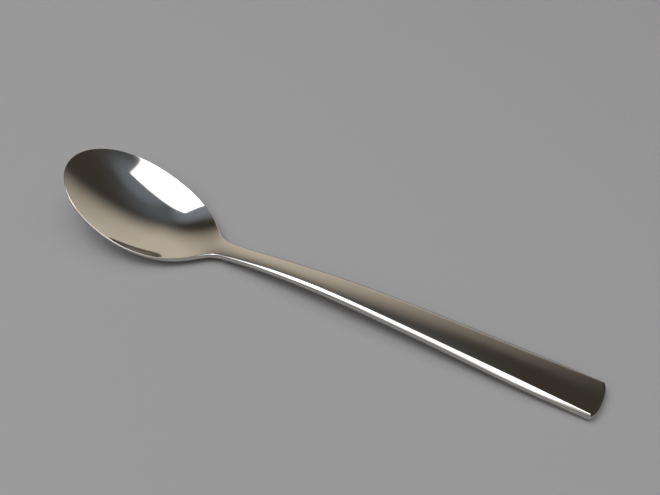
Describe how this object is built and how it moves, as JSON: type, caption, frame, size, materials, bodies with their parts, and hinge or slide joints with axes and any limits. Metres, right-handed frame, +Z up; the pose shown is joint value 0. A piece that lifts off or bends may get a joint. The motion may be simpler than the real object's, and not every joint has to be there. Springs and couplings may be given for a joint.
{
  "type": "tablespoon",
  "caption": "Plain polished steel tablespoon in one piece: an egg-shaped dished bowl, a narrow neck and a flat handle that widens to a square end, with a bevelled edge all round.",
  "frame": {"origin": "on the table under the middle of the spoon's bounding box", "axes": "+X along the spoon from the bowl's tip to the end of the handle, +Z up from the table it lies on"},
  "size_m": [0.205, 0.04, 0.0216],
  "materials": {
    "steel": "polished"
  },
  "bodies": {
    "root": {"tablespoon": "steel"}
  },
  "joints": []
}
